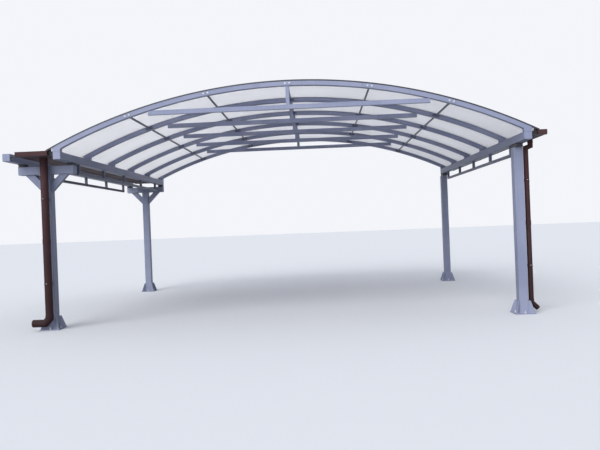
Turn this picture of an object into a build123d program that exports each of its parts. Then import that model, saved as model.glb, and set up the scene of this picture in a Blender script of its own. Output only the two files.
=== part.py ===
# Open carport on four steel posts: six bent tube arches on two eaves beams carry a
# curved roof of translucent sheets. The left side shares its posts with a second row:
# T-heads hold the left beam and a party beam, with a valley gutter between them.
# Millimetres, +Z up, +X to the right seen from the front, front face towards -Y.
# The origin is on the floor, under the middle of the whole carport.
from build123d import *
import math
import os

os.makedirs("parts", exist_ok=True)

# Driving dimensions: plan and heights
bay_count = 5
bay_pitch = 1000
beam_spacing = 6000
valley_spacing = 660
eaves_clear = 2250
front_setback = 390

# Arches, ties and purlins
arch_depth = 60
arch_width = 60
arch_rise = 715
arch_heel = 55
heel_bend = 25
tie_length = 3600
tie_depth = 60
tie_width = 40
tie_lap = 27
king_post_width = 48
purlin_lines = 5
purlin_side = 30
purlin_cover = 14
purlin_plate_length = 100
purlin_plate_height = 40
purlin_plate_thickness = 6

# Eaves beams with the ladder frames under them
beam_side = 100
ladder_depth = 150
ladder_bar = 40
ladder_front_gap = 660
ladder_rear_gap = 500

# Posts, feet and T-heads
post_side = 120
post_packer_height = 50
post_packer_length = 240
arm_packer_height = 35
arm_packer_length = 120
arm_height = 110
brace_reach = 240
brace_drop = 250
brace_gap = 112
brace_width = 60
foot_side = 260
foot_thickness = 12
foot_bolt_circle = 194
foot_bolt_hole = 18
gusset_height = 160
gusset_length = 85
gusset_nose = 25
gusset_thickness = 8

# Roof sheets and the strips over their joints
sheet_thickness = 10
sheet_joint = 10
sheet_overhang = 90
cover_width = 50
cover_thickness = 4

# Gutters and downpipes
gutter_wall = 3
gutter_depth = 60
gutter_overrun = 10
gutter_gap = 70
gutter_width = 112
gutter_lip = 12
sheet_clearance = 3
bracket_thickness = 4
bracket_width = 30
bracket_leaf = 40
bracket_upstand = 34
right_pipe_diameter = 65
valley_pipe_diameter = 100
pipe_wall = 2.5
right_outlet_offset = 60
right_pipe_gap = 24
neck_length = 90
neck_drop = 25
right_shoe_height = 60
right_shoe_reach = 83
valley_pipe_gap = 52
valley_pipe_offset = 25
valley_elbow = 60
valley_shoe_height = 105
valley_shoe_reach = 200
shoe_bore = 50
standoff_thickness = 20
standoff_height = 30
standoff_levels = (620, 1750)

# Plan positions; the carport is centred on the origin by its outermost pieces
roof_length = bay_count * bay_pitch + arch_width
right_reach = beam_spacing / 2 + beam_side / 2 + gutter_gap + gutter_width + bracket_thickness
left_reach = beam_spacing / 2 + valley_spacing + beam_side / 2
roof_x = (left_reach - right_reach) / 2
right_x = roof_x + beam_spacing / 2
left_x = roof_x - beam_spacing / 2
valley_x = left_x - valley_spacing / 2
party_x = left_x - valley_spacing
front_reach = roof_length / 2 + gutter_overrun
rear_reach = roof_length / 2 - post_side / 2 + foot_side / 2
front_y = (front_reach - rear_reach) / 2 - roof_length / 2
rear_y = front_y + roof_length
front_post_y = front_y + front_setback + post_side / 2
rear_post_y = rear_y - post_side / 2

# Heights
beam_top = eaves_clear + beam_side
beam_middle = eaves_clear + beam_side / 2
right_post_top = eaves_clear - post_packer_height
arm_bottom = eaves_clear - arm_packer_height - arm_height

# The arch is a circular arc: its outer face starts over the beam's outer face
arch_half = beam_spacing / 2 + beam_side / 2
arch_radius = (arch_half**2 + arch_rise**2) / (2 * arch_rise)
arch_under = arch_radius - arch_depth
arch_angle = math.asin(arch_half / arch_radius)
crown_z = beam_top + arch_heel + arch_rise
axis_z = crown_z - arch_radius
leg_inside = arch_half - beam_side
tie_top = axis_z + math.sqrt(arch_under**2 - (tie_length / 2 - tie_lap) ** 2)

# The gutters stand off the beams, with their rims just under the sheets that pass over them
valley_clear = valley_spacing - beam_side
valley_gutter_width = valley_clear - 2 * gutter_gap
rim_reach = arch_half + gutter_gap + gutter_wall
gutter_top = axis_z + math.sqrt(arch_radius**2 - rim_reach**2) - sheet_clearance
gutter_bottom = gutter_top - gutter_depth
gutter_length = roof_length + 2 * gutter_overrun
neck_bottom = gutter_bottom - neck_length


def front_plane(x, y):
    """Upright plane that faces the front, with its origin on the floor at x, y."""
    return Plane(origin=(x, y, 0), x_dir=(1, 0, 0), z_dir=(0, -1, 0))


def arc_plane(angle, radius, y):
    """Upright plane turned to the roof's slope, where the arc has that angle."""
    x = roof_x + radius * math.sin(angle)
    z = axis_z + radius * math.cos(angle)
    slope = (math.cos(angle), 0, -math.sin(angle))
    return Plane(origin=(x, y, z), x_dir=slope, z_dir=(0, -1, 0))


# Posts with welded base plate, four corner gussets and four anchor holes
def make_post(x, y, top):
    with BuildPart() as post:
        with BuildSketch(Plane((x, y, 0))):
            Rectangle(foot_side, foot_side)
            with PolarLocations(foot_bolt_circle / 2, 4):
                Circle(foot_bolt_hole / 2, mode=Mode.SUBTRACT)
        extrude(amount=foot_thickness)
        with BuildSketch(Plane((x, y, foot_thickness))):
            Rectangle(post_side, post_side)
        extrude(amount=top - foot_thickness)
        corner = post_side / math.sqrt(2)
        root = corner - gusset_thickness
        for quarter in range(4):
            turn = math.radians(45 + 90 * quarter)
            outward = (math.cos(turn), math.sin(turn), 0)
            across = (math.sin(turn), -math.cos(turn), 0)
            with BuildSketch(Plane((x, y, foot_thickness), x_dir=outward, z_dir=across)):
                with BuildLine():
                    Polyline(
                        (root, 0),
                        (corner + gusset_length, 0),
                        (corner + gusset_length, gusset_nose / 2),
                        (corner + gusset_nose, gusset_height),
                        (root, gusset_height),
                        close=True,
                    )
                make_face()
            extrude(amount=gusset_thickness / 2, both=True)
    return post


post_places = {
    "post_right_front": (right_x, front_post_y, right_post_top),
    "post_right_rear": (right_x, rear_post_y, right_post_top),
    "post_left_front": (valley_x, front_post_y, arm_bottom),
    "post_left_rear": (valley_x, rear_post_y, arm_bottom),
}
for name, (x, y, top) in post_places.items():
    post = make_post(x, y, top)
    post.part.label = name
    export_step(post.part, f"parts/{name}.step")


# T-heads: a cross arm on the left post with a knee brace each side
arm_length = valley_spacing + beam_side
for name, y in (("t_head_front", front_post_y), ("t_head_rear", rear_post_y)):
    with BuildPart() as t_head:
        with BuildSketch(Plane((valley_x, y, arm_bottom))):
            Rectangle(arm_length, post_side)
        extrude(amount=arm_height)
        with BuildSketch(front_plane(valley_x, y)):
            with BuildLine():
                Polyline(
                    (post_side / 2, arm_bottom - brace_drop),
                    (post_side / 2 + brace_reach, arm_bottom),
                    (post_side / 2 + brace_gap, arm_bottom),
                    (post_side / 2, arm_bottom - brace_gap),
                    close=True,
                )
            make_face()
            mirror(about=Plane.YZ)
        extrude(amount=brace_width / 2, both=True)
    t_head.part.label = name
    export_step(t_head.part, f"parts/{name}.step")


# Packers between the beams and what carries them. The right posts have long ones; the rear
# one ends level with the beam.
with BuildPart() as beam_packers:
    with BuildSketch(Plane.XY.offset(right_post_top)):
        with Locations((right_x, front_post_y), (right_x, rear_y - post_packer_length / 2)):
            Rectangle(beam_side, post_packer_length)
    extrude(amount=post_packer_height)
    with BuildSketch(Plane.XY.offset(eaves_clear - arm_packer_height)):
        for x in (left_x, party_x):
            with Locations((x, front_post_y), (x, rear_post_y)):
                Rectangle(beam_side, arm_packer_length)
    extrude(amount=arm_packer_height)
beam_packers.part.label = "beam_packers"
export_step(beam_packers.part, "parts/beam_packers.step")


# Eaves beams and the ladder frame that hangs under each
ladder_front = front_y + ladder_front_gap
ladder_rear = rear_y - ladder_rear_gap
ladder_length = ladder_rear - ladder_front
upright_pitch = (ladder_length - ladder_bar) / (bay_count - 1)
for side, x in (("right", right_x), ("left", left_x), ("party", party_x)):
    with BuildPart() as eaves_beam:
        with BuildSketch(front_plane(x, front_y)):
            with Locations((0, beam_middle)):
                Rectangle(beam_side, beam_side)
        extrude(amount=-roof_length)
    eaves_beam.part.label = f"eaves_beam_{side}"
    export_step(eaves_beam.part, f"parts/eaves_beam_{side}.step")

    with BuildPart() as ladder:
        with BuildSketch(Plane((x, 0, eaves_clear - ladder_depth))):
            with Locations((0, (ladder_front + ladder_rear) / 2)):
                Rectangle(ladder_bar, ladder_length)
        extrude(amount=ladder_bar)
        with BuildSketch(Plane((x, 0, eaves_clear - ladder_depth + ladder_bar))):
            for number in range(bay_count):
                with Locations((0, ladder_front + ladder_bar / 2 + number * upright_pitch)):
                    Rectangle(ladder_bar, ladder_bar)
        extrude(amount=ladder_depth - ladder_bar)
    ladder.part.label = f"ladder_{side}"
    export_step(ladder.part, f"parts/ladder_{side}.step")


# Arches: bent square tube with a short upright end on each beam, rounded inside the bend
for number in range(bay_count + 1):
    y = front_y + number * bay_pitch
    heel_z = axis_z + math.sqrt(arch_under**2 - leg_inside**2)
    with BuildPart() as arch:
        with BuildSketch(front_plane(roof_x, y)) as arch_side:
            with Locations((0, axis_z)):
                Circle(arch_radius)
            with Locations((0, beam_top)):
                Rectangle(
                    2 * arch_half,
                    arch_heel + arch_rise,
                    align=(Align.CENTER, Align.MIN),
                    mode=Mode.INTERSECT,
                )
            with BuildLine():
                ThreePointArc((-leg_inside, heel_z), (0, crown_z - arch_depth), (leg_inside, heel_z))
                Polyline(
                    (leg_inside, heel_z),
                    (leg_inside, beam_top),
                    (-leg_inside, beam_top),
                    (-leg_inside, heel_z),
                )
            make_face(mode=Mode.SUBTRACT)
            heel_corners = arch_side.vertices().filter_by_position(Axis.Y, heel_z - 1, heel_z + 1)
            fillet(heel_corners, radius=heel_bend)
        extrude(amount=-arch_width)
    arch.part.label = f"arch_{number + 1}"
    export_step(arch.part, f"parts/arch_{number + 1}.step")


# Ties: a level bar coped to the arch's underside, with a short king post in the middle.
# The rear arch has none.
for number in range(bay_count):
    y = front_y + number * bay_pitch + (arch_width - tie_width) / 2
    with BuildPart() as tie:
        with BuildSketch(front_plane(roof_x, y)):
            with Locations((0, tie_top - tie_depth)):
                Rectangle(tie_length, tie_depth, align=(Align.CENTER, Align.MIN))
                Rectangle(king_post_width, arch_rise, align=(Align.CENTER, Align.MIN))
            with Locations((0, axis_z)):
                Circle(arch_under, mode=Mode.INTERSECT)
        extrude(amount=-tie_width)
    tie.part.label = f"tie_{number + 1}"
    export_step(tie.part, f"parts/tie_{number + 1}.step")


# Purlins: short tubes between the arches, with an end plate bolted to each arch face
purlin_radius = arch_radius - purlin_cover - purlin_side / 2
bay_clear = bay_pitch - arch_width
for line in range(purlin_lines):
    angle = arch_angle * (2 * (line + 1) / (purlin_lines + 1) - 1)
    with BuildPart() as purlin_row:
        for bay in range(bay_count):
            y = front_y + bay * bay_pitch + arch_width
            far_plate = y + bay_clear - purlin_plate_thickness
            with BuildSketch(arc_plane(angle, purlin_radius, y)):
                Rectangle(purlin_side, purlin_side)
            extrude(amount=-bay_clear)
            with BuildSketch(arc_plane(angle, purlin_radius, y), arc_plane(angle, purlin_radius, far_plate)):
                Rectangle(purlin_plate_length, purlin_plate_height)
            extrude(amount=-purlin_plate_thickness)
    purlin_row.part.label = f"purlin_row_{line + 1}"
    export_step(purlin_row.part, f"parts/purlin_row_{line + 1}.step")


# Roof: one curved sheet a bay, joined over the arches
sheet_reach = arch_half + sheet_overhang
for number in range(bay_count):
    start = front_y + number * bay_pitch + arch_width / 2 + sheet_joint / 2
    end = start + bay_pitch - sheet_joint
    if number == 0:
        start = front_y
    if number == bay_count - 1:
        end = rear_y
    with BuildPart() as roof_sheet:
        with BuildSketch(front_plane(roof_x, start)):
            with Locations((0, axis_z)):
                Circle(arch_radius + sheet_thickness)
                Circle(arch_radius, mode=Mode.SUBTRACT)
            with Locations((0, crown_z)):
                Rectangle(2 * sheet_reach, 2 * arch_radius, mode=Mode.INTERSECT)
        extrude(amount=start - end)
    roof_sheet.part.label = f"roof_sheet_{number + 1}"
    export_step(roof_sheet.part, f"parts/roof_sheet_{number + 1}.step")


# Cover strips along the arches, over the joints and along the two end edges
cover_radius = arch_radius + sheet_thickness
for number in range(bay_count + 1):
    y = front_y + number * bay_pitch + (arch_width - cover_width) / 2
    if number == 0:
        y = front_y
    if number == bay_count:
        y = rear_y - cover_width
    with BuildPart() as cover_strip:
        with BuildSketch(front_plane(roof_x, y)):
            with Locations((0, axis_z)):
                Circle(cover_radius + cover_thickness)
                Circle(cover_radius, mode=Mode.SUBTRACT)
            with Locations((0, crown_z)):
                Rectangle(2 * sheet_reach, 2 * arch_radius, mode=Mode.INTERSECT)
        extrude(amount=-cover_width)
    cover_strip.part.label = f"cover_strip_{number + 1}"
    export_step(cover_strip.part, f"parts/cover_strip_{number + 1}.step")


# Gutters: open channels with closed ends, a turned lip and a round outlet
right_gutter_x = right_x + beam_side / 2 + gutter_gap
right_outlet_x = right_gutter_x + right_outlet_offset
with BuildPart() as gutter_right:
    with BuildSketch(front_plane(right_gutter_x, front_y - gutter_overrun)):
        with Locations((0, gutter_bottom)):
            Rectangle(gutter_width, gutter_depth, align=(Align.MIN, Align.MIN))
    extrude(amount=-gutter_length)
    with BuildSketch(front_plane(right_gutter_x, front_y - gutter_overrun + gutter_wall)):
        with Locations((gutter_wall, gutter_bottom + gutter_wall)):
            Rectangle(gutter_width - 2 * gutter_wall, gutter_depth, align=(Align.MIN, Align.MIN))
        with Locations((gutter_width, gutter_bottom + gutter_depth)):
            Rectangle(
                gutter_lip,
                gutter_wall,
                align=(Align.MAX, Align.MAX),
                mode=Mode.SUBTRACT,
            )
    extrude(amount=2 * gutter_wall - gutter_length, mode=Mode.SUBTRACT)
    with BuildSketch(Plane((right_outlet_x, front_post_y, gutter_bottom))):
        Circle(right_pipe_diameter / 2 - pipe_wall)
    extrude(amount=gutter_wall, mode=Mode.SUBTRACT)
gutter_right.part.label = "gutter_right"
export_step(gutter_right.part, "parts/gutter_right.step")

valley_pipe_x = valley_x + valley_pipe_offset
valley_pipe_y = front_post_y - post_side / 2 - valley_pipe_gap - valley_pipe_diameter / 2
with BuildPart() as gutter_valley:
    with BuildSketch(front_plane(valley_x, front_y - gutter_overrun)):
        with Locations((0, gutter_bottom)):
            Rectangle(valley_gutter_width, gutter_depth, align=(Align.CENTER, Align.MIN))
    extrude(amount=-gutter_length)
    with BuildSketch(front_plane(valley_x, front_y - gutter_overrun + gutter_wall)):
        with Locations((0, gutter_bottom + gutter_wall)):
            Rectangle(
                valley_gutter_width - 2 * gutter_wall,
                gutter_depth,
                align=(Align.CENTER, Align.MIN),
            )
    extrude(amount=2 * gutter_wall - gutter_length, mode=Mode.SUBTRACT)
    with BuildSketch(Plane((valley_pipe_x, valley_pipe_y, gutter_bottom))):
        Circle(valley_pipe_diameter / 2 - pipe_wall)
    extrude(amount=gutter_wall, mode=Mode.SUBTRACT)
gutter_valley.part.label = "gutter_valley"
export_step(gutter_valley.part, "parts/gutter_valley.step")


# Gutter brackets at the arches: from the beam's side under the right gutter and up its
# outer wall, and a strap across the valley from beam to beam
with BuildPart() as gutter_brackets:
    for number in range(bay_count + 1):
        y = front_y + number * bay_pitch + (arch_width - bracket_width) / 2
        with BuildSketch(front_plane(right_gutter_x, y)):
            with Locations((-gutter_gap, gutter_bottom)):
                Rectangle(bracket_thickness, bracket_leaf, align=(Align.MIN, Align.MAX))
                Rectangle(
                    gutter_gap + gutter_width + bracket_thickness,
                    bracket_thickness,
                    align=(Align.MIN, Align.MAX),
                )
            with Locations((gutter_width, gutter_bottom - bracket_thickness)):
                Rectangle(bracket_thickness, bracket_upstand, align=(Align.MIN, Align.MIN))
        with BuildSketch(front_plane(valley_x, y)):
            with Locations((0, gutter_bottom)):
                Rectangle(valley_clear, bracket_thickness, align=(Align.CENTER, Align.MAX))
            for side in (-1, 1):
                with Locations((side * (valley_clear - bracket_thickness) / 2, gutter_bottom)):
                    Rectangle(bracket_thickness, bracket_leaf, align=(Align.CENTER, Align.MAX))
        extrude(amount=-bracket_width)
gutter_brackets.part.label = "gutter_brackets"
export_step(gutter_brackets.part, "parts/gutter_brackets.step")


# Downpipes: straight runs mitred at the elbows, with an open shoe at the foot. Two stand-offs
# hold each to its post.
def make_downpipe(corners, diameter, post_face, gap):
    with BuildPart() as downpipe:
        with BuildLine():
            centre_line = Polyline(*corners)
        with BuildSketch(Plane(origin=centre_line @ 0, z_dir=centre_line % 0)):
            Circle(diameter / 2)
        sweep(path=centre_line, transition=Transition.RIGHT)
        with BuildSketch(Plane(origin=centre_line @ 1, z_dir=centre_line % 1)):
            Circle(diameter / 2 - pipe_wall)
        extrude(amount=-shoe_bore, mode=Mode.SUBTRACT)
        for level in standoff_levels:
            with BuildSketch(post_face.offset(level)):
                Rectangle(gap + diameter / 2, standoff_thickness, align=(Align.MIN, Align.CENTER))
            extrude(amount=standoff_height)
    return downpipe


right_pipe_x = right_x + post_side / 2 + right_pipe_gap + right_pipe_diameter / 2
downpipe_right = make_downpipe(
    (
        (right_outlet_x, front_post_y, gutter_bottom),
        (right_outlet_x, front_post_y, neck_bottom),
        (right_pipe_x, front_post_y, neck_bottom - neck_drop),
        (right_pipe_x, front_post_y, right_shoe_height + right_shoe_reach),
        (right_pipe_x + right_shoe_reach, front_post_y, right_shoe_height),
    ),
    right_pipe_diameter,
    Plane((right_x + post_side / 2, front_post_y, 0)),
    right_pipe_gap,
)
downpipe_right.part.label = "downpipe_right"
export_step(downpipe_right.part, "parts/downpipe_right.step")

downpipe_valley = make_downpipe(
    (
        (valley_pipe_x, valley_pipe_y, gutter_bottom),
        (valley_pipe_x, valley_pipe_y, valley_shoe_height + valley_elbow),
        (valley_pipe_x - valley_elbow, valley_pipe_y, valley_shoe_height),
        (valley_x - valley_shoe_reach, valley_pipe_y, valley_shoe_height),
    ),
    valley_pipe_diameter,
    Plane((valley_pipe_x, front_post_y - post_side / 2, 0), x_dir=(0, -1, 0)),
    valley_pipe_gap,
)
downpipe_valley.part.label = "downpipe_valley"
export_step(downpipe_valley.part, "parts/downpipe_valley.step")
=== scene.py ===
import bmesh
import bpy
import math
from mathutils import Matrix, Vector


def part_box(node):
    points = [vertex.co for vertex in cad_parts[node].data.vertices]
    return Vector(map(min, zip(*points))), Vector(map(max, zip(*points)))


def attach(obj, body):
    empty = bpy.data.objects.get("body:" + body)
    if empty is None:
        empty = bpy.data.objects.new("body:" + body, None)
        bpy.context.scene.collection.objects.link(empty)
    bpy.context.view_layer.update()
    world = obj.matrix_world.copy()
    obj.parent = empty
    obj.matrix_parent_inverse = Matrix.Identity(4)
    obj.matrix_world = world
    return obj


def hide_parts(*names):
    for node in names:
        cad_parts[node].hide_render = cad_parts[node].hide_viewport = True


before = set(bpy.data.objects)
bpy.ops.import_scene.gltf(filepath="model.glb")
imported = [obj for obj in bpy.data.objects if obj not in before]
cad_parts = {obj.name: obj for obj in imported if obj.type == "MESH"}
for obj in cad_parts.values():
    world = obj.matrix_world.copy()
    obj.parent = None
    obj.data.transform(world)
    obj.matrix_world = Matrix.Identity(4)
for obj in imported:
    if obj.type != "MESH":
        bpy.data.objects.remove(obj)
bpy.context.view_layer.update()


# Camera: at eye height in front of the carport, a little right of its middle. It looks almost
# straight in, and it was held about two degrees out of level.
camera_data = bpy.data.cameras.new("camera")
camera_data.lens = 35.24
camera_data.sensor_width = 36
camera_data.clip_end = 200
camera = bpy.data.objects.new("camera", camera_data)
bpy.context.collection.objects.link(camera)
camera_place = Vector((0.563, -10.008, 1.285))
camera_heading = math.radians(1.78)
camera_roll = math.radians(-2.24)
camera.matrix_world = (
    Matrix.Translation(camera_place)
    @ Matrix.Rotation(camera_heading, 4, "Z")
    @ Matrix.Rotation(math.radians(90), 4, "X")
    @ Matrix.Rotation(camera_roll, 4, "Z")
)
bpy.context.scene.camera = camera
bpy.context.scene.view_settings.view_transform = "Standard"


# Light: a broad sun from above the front, left of the camera, a wide softbox low in front and a
# weaker one behind that reach in under the roof, and a cloudy sky that is brightest overhead. The
# sky shows as a pale backdrop in the picture, in gloss and through clear things.
sun_data = bpy.data.lights.new("sun", "SUN")
sun_data.energy = 2.3
sun_data.angle = math.radians(50)
sun = bpy.data.objects.new("sun", sun_data)
bpy.context.collection.objects.link(sun)
sun_direction = Vector((0.58, 1.0, -0.64))
sun.rotation_euler = sun_direction.to_track_quat("-Z", "Y").to_euler()

softboxes = []
softbox_length = 12.0
softbox_width = 1.2
softbox_distance = 12.0
softbox_height = 0.9
softbox_tilt = math.radians(58)
for name, side, power in (("softbox_front", -1, 480), ("softbox_rear", 1, 170)):
    softbox_data = bpy.data.lights.new(name, "AREA")
    softbox_data.energy = power
    softbox_data.shape = "RECTANGLE"
    softbox_data.size = softbox_length
    softbox_data.size_y = softbox_width
    softbox = bpy.data.objects.new(name, softbox_data)
    bpy.context.collection.objects.link(softbox)
    softbox.location = (0, side * softbox_distance, softbox_height)
    softbox_aim = Vector((0, -side * math.cos(softbox_tilt), math.sin(softbox_tilt)))
    softbox.rotation_euler = softbox_aim.to_track_quat("-Z", "Y").to_euler()
    softbox.visible_camera = False
    softbox.visible_glossy = False
    softboxes.append(softbox)

world = bpy.data.worlds.new("studio")
bpy.context.scene.world = world
world.use_nodes = True
sky_tree = world.node_tree
sky_colour = (0.88, 0.92, 1.0, 1)
backdrop_colour = (0.90, 0.915, 0.955, 1)
sky_low = 0.16
sky_rise = 0.76
sky = sky_tree.nodes["Background"]
sky.inputs["Color"].default_value = sky_colour
backdrop = sky_tree.nodes.new("ShaderNodeBackground")
backdrop.inputs["Color"].default_value = backdrop_colour


class Signal:
    """One output in a node tree. Arithmetic on signals and numbers adds Math nodes."""

    def __init__(self, tree, socket):
        self.tree = tree
        self.socket = socket

    def node(self, kind, settings, values, output=0):
        """Adds a node: first its settings, then its inputs by name or number. Gives one output."""
        made = self.tree.nodes.new(kind)
        for setting, value in settings.items():
            setattr(made, setting, value)
        for name, value in values.items():
            if isinstance(value, Signal):
                self.tree.links.new(value.socket, made.inputs[name])
            else:
                made.inputs[name].default_value = value
        return Signal(self.tree, made.outputs[output])

    def maths(self, operation, *values):
        return self.node("ShaderNodeMath", {"operation": operation}, dict(enumerate(values)))

    def into(self, shader, name):
        self.tree.links.new(self.socket, shader.inputs[name])

    def __add__(self, other):
        return self.maths("ADD", self, other)

    def __radd__(self, other):
        return self.maths("ADD", other, self)

    def __sub__(self, other):
        return self.maths("SUBTRACT", self, other)

    def __rsub__(self, other):
        return self.maths("SUBTRACT", other, self)

    def __mul__(self, other):
        return self.maths("MULTIPLY", self, other)

    def __rmul__(self, other):
        return self.maths("MULTIPLY", other, self)

    def __truediv__(self, other):
        return self.maths("DIVIDE", self, other)


def along(place, axis):
    """One of the place's three measures: 0, 1 and 2 are X, Y and Z."""
    return place.node("ShaderNodeSeparateXYZ", {}, {0: place}, axis)


def height_of(place):
    return along(place, 2)


def seen_plainly(tree):
    """1 for rays from the camera and for those that gloss or clear things send on, else 0."""
    rays = tree.nodes.new("ShaderNodeLightPath")
    straight = Signal(tree, rays.outputs["Is Camera Ray"])
    glossy = Signal(tree, rays.outputs["Is Glossy Ray"])
    through = Signal(tree, rays.outputs["Is Transmission Ray"])
    return straight.maths("MAXIMUM", straight.maths("MAXIMUM", straight, glossy), through)


sky_light = Signal(sky_tree, sky.outputs[0])
sky_view = Signal(sky_tree, sky_tree.nodes.new("ShaderNodeTexCoord").outputs["Generated"])
view_height = height_of(sky_view)
(view_height.maths("MAXIMUM", view_height, 0.0) * sky_rise + sky_low).into(sky, "Strength")
shown_sky = sky_light.node(
    "ShaderNodeMixShader",
    {},
    {0: seen_plainly(sky_tree), 1: sky_light, 2: Signal(sky_tree, backdrop.outputs[0])},
)
sky_tree.links.new(shown_sky.socket, sky_tree.nodes["World Output"].inputs["Surface"])


# Ground: a plain pale floor that keeps the carport's shadow. It lights the steel from below
# only as much as dull paving would, so it is darker to light than to the camera. The softboxes
# leave it alone, so that no edge of light shows on it.
floor_size = 160
bpy.ops.object.select_all(action="DESELECT")
bpy.ops.mesh.primitive_plane_add(size=floor_size, location=(0, 0, 0))
floor = bpy.context.object
floor.name = "floor"
floor_finish = bpy.data.materials.new("pale_floor")
floor_finish.use_nodes = True
floor_tree = floor_finish.node_tree
floor_shown = (0.80, 0.815, 0.845, 1)
floor_bounce = (0.17, 0.165, 0.165, 1)
shown_floor = floor_tree.nodes.new("ShaderNodeBsdfDiffuse")
shown_floor.inputs["Color"].default_value = floor_shown
dull_floor = floor_tree.nodes.new("ShaderNodeBsdfDiffuse")
dull_floor.inputs["Color"].default_value = floor_bounce
dull_light = Signal(floor_tree, dull_floor.outputs[0])
floor_mix = dull_light.node(
    "ShaderNodeMixShader",
    {},
    {0: seen_plainly(floor_tree), 1: dull_light, 2: Signal(floor_tree, shown_floor.outputs[0])},
)
floor_tree.links.new(floor_mix.socket, floor_tree.nodes["Material Output"].inputs["Surface"])
floor.data.materials.append(floor_finish)
passed_by = bpy.data.collections.new("passed_by_softboxes")
passed_by.objects.link(floor)
passed_by.collection_objects[0].light_linking.link_state = "EXCLUDE"
for softbox in softboxes:
    softbox.light_linking.receiver_collection = passed_by


# Posts: square steel tube welded to a base plate, with a gusset at each corner. The steel is
# blasted, welded and powder coated in a slate blue grey.
def only(piece):
    """Makes the piece the one that is selected and active."""
    bpy.ops.object.select_all(action="DESELECT")
    piece.select_set(True)
    bpy.context.view_layer.objects.active = piece


def solid_copy(node, name):
    """The solid's own shape as a closed mesh with whole flat faces, shown in its place."""
    piece = bpy.data.objects.new(name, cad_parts[node].data.copy())
    bpy.context.collection.objects.link(piece)
    piece.data.materials.clear()
    only(piece)
    bpy.ops.object.mode_set(mode="EDIT")
    bpy.ops.mesh.select_all(action="SELECT")
    bpy.ops.mesh.remove_doubles(threshold=merge_distance)
    bpy.ops.mesh.dissolve_limited(angle_limit=flat_angle)
    bpy.ops.object.mode_set(mode="OBJECT")
    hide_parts(node)
    return piece


def modify(piece, kind, **settings):
    """Puts a modifier with these settings on the piece and applies it."""
    only(piece)
    bpy.ops.object.modifier_add(type=kind)
    modifier = piece.modifiers[-1]
    for setting, value in settings.items():
        setattr(modifier, setting, value)
    bpy.ops.object.modifier_apply(modifier=modifier.name)


def smooth(piece):
    only(piece)
    bpy.ops.object.shade_smooth_by_angle(angle=smooth_angle)
    modify(piece, "WEIGHTED_NORMAL", keep_sharp=True)


def round_edges(piece, radius, segments=2, clamp=True, sharper_than=40):
    """Rounds the sharp edges and shades the piece so that its flat faces stay flat."""
    least_angle = math.radians(sharper_than)
    limits = {"limit_method": "ANGLE", "angle_limit": least_angle, "use_clamp_overlap": clamp}
    modify(piece, "BEVEL", width=radius, segments=segments, **limits)
    smooth(piece)


def finish_piece(piece, material):
    """Gives the piece its finish and lets it ride with the frame."""
    piece.data.materials.clear()
    piece.data.materials.append(material)
    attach(piece, "root")


def start_finish(name):
    """A new material: gives it with its shader and the place on the piece in metres."""
    material = bpy.data.materials.new(name)
    material.use_nodes = True
    tree = material.node_tree
    place = Signal(tree, tree.nodes.new("ShaderNodeTexCoord").outputs["Object"])
    return material, tree.nodes["Principled BSDF"], place


def noise(place, scale, detail=2.0):
    return place.node("ShaderNodeTexNoise", {}, {"Vector": place, "Scale": scale, "Detail": detail})


def blend_colour(share, first, second):
    """A colour between two, by a share from 0 to 1."""
    return share.node("ShaderNodeMix", {"data_type": "RGBA"}, {0: share, 6: first, 7: second}, 2)


def limited(signal, low, high):
    """0 below the low value and 1 above the high one, with a smooth step between."""
    values = {"Value": signal, 1: low, 2: high, 3: 0.0, 4: 1.0}
    return signal.node("ShaderNodeMapRange", {"interpolation_type": "SMOOTHSTEP"}, values)


def stretched(place, scale):
    """The place with a scale of its own along each axis, for noise that runs one way."""
    return place.node("ShaderNodeMapping", {}, {0: place, "Scale": scale})


def raise_grain(shader, grain, distance):
    """Bump from a signal that runs from 0 to 1 over that distance in metres."""
    values = {"Height": grain, "Distance": distance, "Strength": 1.0}
    grain.node("ShaderNodeBump", {}, values).into(shader, "Normal")


def make_slate_paint(name, slate, pale, washed):
    """The powder coat: pale patches, rain streaks, specks of film and dust near the ground."""
    washed_share = 0.35
    film = (0.40, 0.42, 0.49, 1)
    film_share = 0.30
    dust = (0.37, 0.37, 0.41, 1)
    dust_top = 0.32
    dust_share = 0.35
    orange_peel = 0.00012
    material, shader, place = start_finish(name)
    patches = noise(place, 1.7, 4.0)
    coat = blend_colour(limited(patches, 0.35, 0.7), slate, pale)
    runs = stretched(place, (26.0, 26.0, 1.1))
    streaks = limited(noise(runs, 1.0, 4.0), 0.52, 0.78) * washed_share
    coat = blend_colour(streaks, coat, washed)
    specks = limited(noise(place, 75.0, 5.0), 0.52, 0.80) * film_share
    coat = blend_colour(specks, coat, film)
    low = 1 - limited(height_of(place), 0.0, dust_top)
    dusty = low * limited(noise(place, 19.0, 5.0), 0.35, 0.75) * dust_share
    blend_colour(dusty, coat, dust).into(shader, "Base Color")
    (0.40 + patches * 0.14 + specks * 0.3 + dusty * 0.3).into(shader, "Roughness")
    shader.inputs["Specular IOR Level"].default_value = 0.25
    raise_grain(shader, noise(place, 310.0), orange_peel)
    return material


merge_distance = 0.00002
flat_angle = math.radians(0.1)
smooth_angle = math.radians(35)
slate = (0.250, 0.281, 0.416, 1)
slate_pale = (0.300, 0.330, 0.468, 1)
slate_washed = (0.194, 0.217, 0.322, 1)
frame_paint = make_slate_paint("frame_paint", slate, slate_pale, slate_washed)
post_corner = 0.007
post_names = ("post_right_front", "post_right_rear", "post_left_front", "post_left_rear")
for name in post_names:
    post = solid_copy(name, name + "_steel")
    round_edges(post, post_corner, 3)
    finish_piece(post, frame_paint)


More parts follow.
